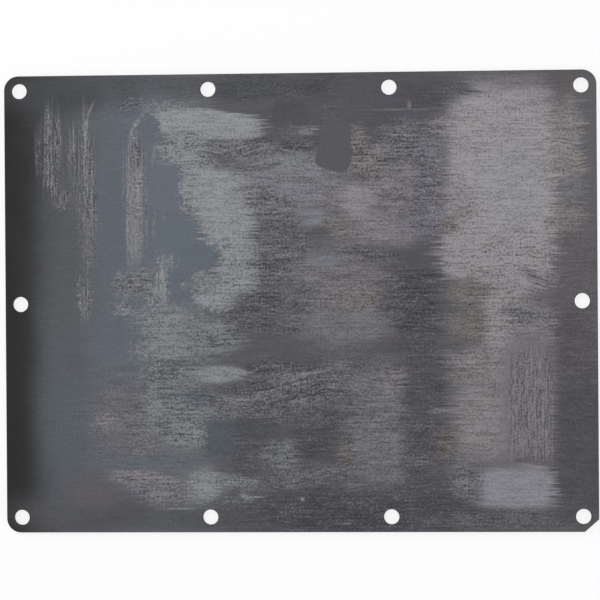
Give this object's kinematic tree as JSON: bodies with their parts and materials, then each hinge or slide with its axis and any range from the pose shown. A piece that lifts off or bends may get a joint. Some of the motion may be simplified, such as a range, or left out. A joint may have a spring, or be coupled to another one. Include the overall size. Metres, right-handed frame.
{
  "type": "rectangular cover plate",
  "caption": "Flat rectangular steel cover plate with bolt holes round its border, rounded corners and a single clipped corner.",
  "frame": {"origin": "middle of the back face, the face that seats on what the plate covers", "axes": "+Z out of the outer face, +X along the long edges, +Y along the short edges; the clipped corner is at +X -Y"},
  "size_m": [0.35, 0.271, 0.003],
  "materials": {
    "steel": "hot-rolled steel with dark blue-grey mill scale, rubbed paler in patches"
  },
  "bodies": {
    "root": {"cover_plate": "steel"}
  },
  "joints": []
}
